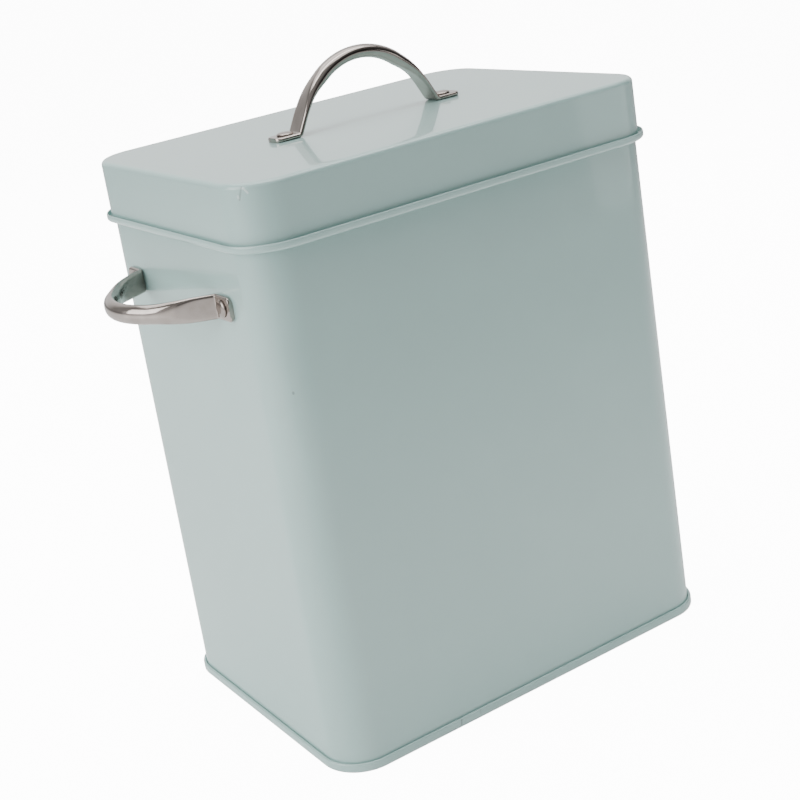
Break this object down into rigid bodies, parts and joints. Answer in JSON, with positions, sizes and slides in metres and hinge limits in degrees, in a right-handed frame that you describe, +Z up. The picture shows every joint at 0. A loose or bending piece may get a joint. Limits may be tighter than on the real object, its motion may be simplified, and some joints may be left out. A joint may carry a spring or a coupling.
{
  "type": "laundry powder tin",
  "caption": "Upright rectangular sheet-metal storage tin with rounded corners, a deep lift-off lid and riveted tube handles on the lid and both ends.",
  "frame": {"origin": "middle of the underside, on the surface the tin stands on", "axes": "+X along the long side towards the right end, front wall faces -Y, +Z up"},
  "size_m": [0.2644, 0.15, 0.2842],
  "materials": {
    "paint": "glossy pale grey-green powder coat",
    "nickel_steel": "satin warm grey nickel"
  },
  "bodies": {
    "body": {"body_wall": "paint", "bottom_panel": "paint", "left_handle": "nickel_steel", "left_rivet_front": "nickel_steel", "left_rivet_back": "nickel_steel", "right_handle": "nickel_steel", "right_rivet_front": "nickel_steel", "right_rivet_back": "nickel_steel"},
    "lid": {"lid": "paint", "lid_handle": "nickel_steel", "lid_rivet_left": "nickel_steel", "lid_rivet_right": "nickel_steel"}
  },
  "joints": [
    {"name": "lid_lift", "type": "slide", "parent": "body", "child": "lid", "axis": [0, 0, 1], "range_m": [0, 0.15]}
  ]
}
